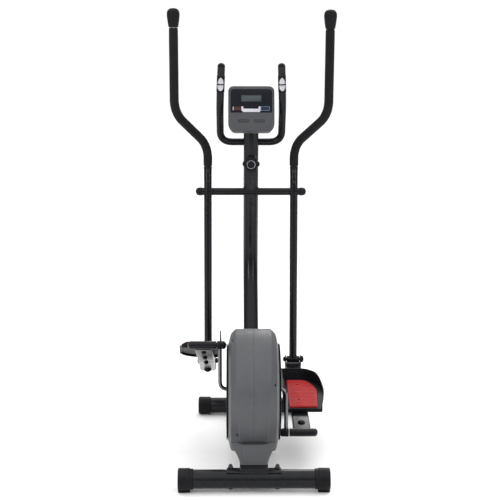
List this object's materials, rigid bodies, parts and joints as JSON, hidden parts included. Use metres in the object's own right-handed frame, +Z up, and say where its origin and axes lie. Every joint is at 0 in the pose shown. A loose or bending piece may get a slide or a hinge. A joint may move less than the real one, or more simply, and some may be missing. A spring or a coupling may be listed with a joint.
{
  "type": "elliptical trainer",
  "caption": "Rear-drive elliptical trainer: swinging arms, pedal bars on a chrome crank, drum housing over a belt-driven flywheel, bent post with pulse bar and console",
  "frame": {"origin": "on the floor under the middle of the machine's overall box", "axes": "+Z up, +Y towards the console and the front stabilizer, +X to the right of a user who faces the console"},
  "size_m": [0.6174, 0.9838, 1.5511],
  "materials": {
    "paint_black": "satin powder coat",
    "plastic_black": "fine moulded grain",
    "plastic_grey": "satin moulded",
    "button_red": "gloss",
    "button_blue": "gloss",
    "foam_black": "closed-cell foam sleeve",
    "chrome": "polished plate",
    "sensor_steel": "brushed",
    "zinc": "zinc plate",
    "cast_iron": "as cast with a turned rim",
    "belt_rubber": "ribbed",
    "pad_red": "ribbed soft plastic",
    "display": "clear gloss window"
  },
  "bodies": {
    "frame": {"main_frame": "paint_black", "rear_stabilizer": "paint_black", "front_stabilizer": "paint_black", "front_post": "paint_black", "pivot_axle": "paint_black", "pulse_handlebar": "paint_black", "tension_base": "plastic_black", "console_front": "plastic_grey", "console_back": "plastic_grey", "console_display": "display", "tail_cover": "plastic_grey", "drive_belt": "belt_rubber", "flywheel_axle": "zinc", "magnet_bracket": "zinc", "rear_foot_cap_left": "plastic_black", "rear_foot_cap_right": "plastic_black", "front_foot_cap_left": "plastic_black", "front_foot_cap_right": "plastic_black", "rear_bolt_left": "zinc", "rear_bolt_right": "zinc", "pivot_cap_left": "plastic_black", "pivot_cap_right": "plastic_black", "pulse_sensor_upper_left": "sensor_steel", "pulse_sensor_lower_left": "sensor_steel", "pulse_sensor_upper_right": "sensor_steel", "pulse_sensor_lower_right": "sensor_steel", "housing_left": "plastic_grey", "housing_right": "plastic_grey", "crank_cover_left": "plastic_black", "crank_cover_right": "plastic_black", "crank_bearing_left": "zinc", "crank_bearing_right": "zinc"},
    "crank": {"crank": "chrome", "drive_pulley": "plastic_black", "crank_nut_cap_left": "plastic_black", "crank_nut_cap_right": "plastic_black"},
    "flywheel": {"flywheel": "cast_iron"},
    "tension_knob": {"tension_knob": "plastic_black"},
    "left_arm": {"lower_arm_left": "paint_black", "upper_handle_left": "paint_black", "handle_grip_left": "foam_black", "handle_knob_left": "plastic_black"},
    "left_pedal_bar": {"pedal_bar_left": "paint_black", "pedal_left": "plastic_black", "pedal_pad_left": "pad_red", "lower_joint_bolt_left": "plastic_black"},
    "button_left": {"console_button_left": "button_red"},
    "key_left": {"console_key_left": "plastic_black"},
    "right_arm": {"lower_arm_right": "paint_black", "upper_handle_right": "paint_black", "handle_grip_right": "foam_black", "handle_knob_right": "plastic_black"},
    "right_pedal_bar": {"pedal_bar_right": "paint_black", "pedal_right": "plastic_black", "pedal_pad_right": "pad_red", "lower_joint_bolt_right": "plastic_black"},
    "button_right": {"console_button_right": "button_blue"},
    "key_right": {"console_key_right": "plastic_black"}
  },
  "joints": [
    {"name": "crank_spin", "type": "hinge", "parent": "frame", "child": "crank", "pos_m": [0, -0.241, 0.273], "axis": [1, 0, 0], "continuous": true},
    {"name": "flywheel_spin", "type": "hinge", "parent": "frame", "child": "flywheel", "pos_m": [0, -0.002, 0.235], "axis": [1, 0, 0], "continuous": true},
    {"name": "left_arm_swing", "type": "hinge", "parent": "frame", "child": "left_arm", "pos_m": [-0.165, 0.403, 0.872], "axis": [1, 0, 0], "range_deg": [-10, 14]},
    {"name": "right_arm_swing", "type": "hinge", "parent": "frame", "child": "right_arm", "pos_m": [0.165, 0.403, 0.872], "axis": [1, 0, 0], "range_deg": [-14, 10]},
    {"name": "left_bar_pivot", "type": "hinge", "parent": "left_arm", "child": "left_pedal_bar", "pos_m": [-0.165, 0.34502, 0.22057], "axis": [1, 0, 0], "range_deg": [-6, 31]},
    {"name": "right_bar_pivot", "type": "hinge", "parent": "right_arm", "child": "right_pedal_bar", "pos_m": [0.165, 0.37156, 0.21876], "axis": [1, 0, 0], "range_deg": [-31, 6]},
    {"name": "tension_turn", "type": "hinge", "parent": "frame", "child": "tension_knob", "pos_m": [0, 0.39312, 0.992], "axis": [0, 0.9776, 0.2107], "range_deg": [0, 280]},
    {"name": "button_left_press", "type": "slide", "parent": "frame", "child": "button_left", "axis": [0, 0.9397, -0.342], "range_m": [0, 0.0015], "stiffness_N_per_m": 300},
    {"name": "button_right_press", "type": "slide", "parent": "frame", "child": "button_right", "axis": [0, 0.9397, -0.342], "range_m": [0, 0.0015], "stiffness_N_per_m": 300},
    {"name": "key_left_press", "type": "slide", "parent": "frame", "child": "key_left", "axis": [0, 0.9397, -0.342], "range_m": [0, 0.0015], "stiffness_N_per_m": 300},
    {"name": "key_right_press", "type": "slide", "parent": "frame", "child": "key_right", "axis": [0, 0.9397, -0.342], "range_m": [0, 0.0015], "stiffness_N_per_m": 300}
  ],
  "couplings": [
    {"joint": "flywheel_spin", "follows": "crank_spin", "ratio": 5.4545},
    {"joint": "right_arm_swing", "follows": "left_arm_swing", "ratio": -1}
  ]
}
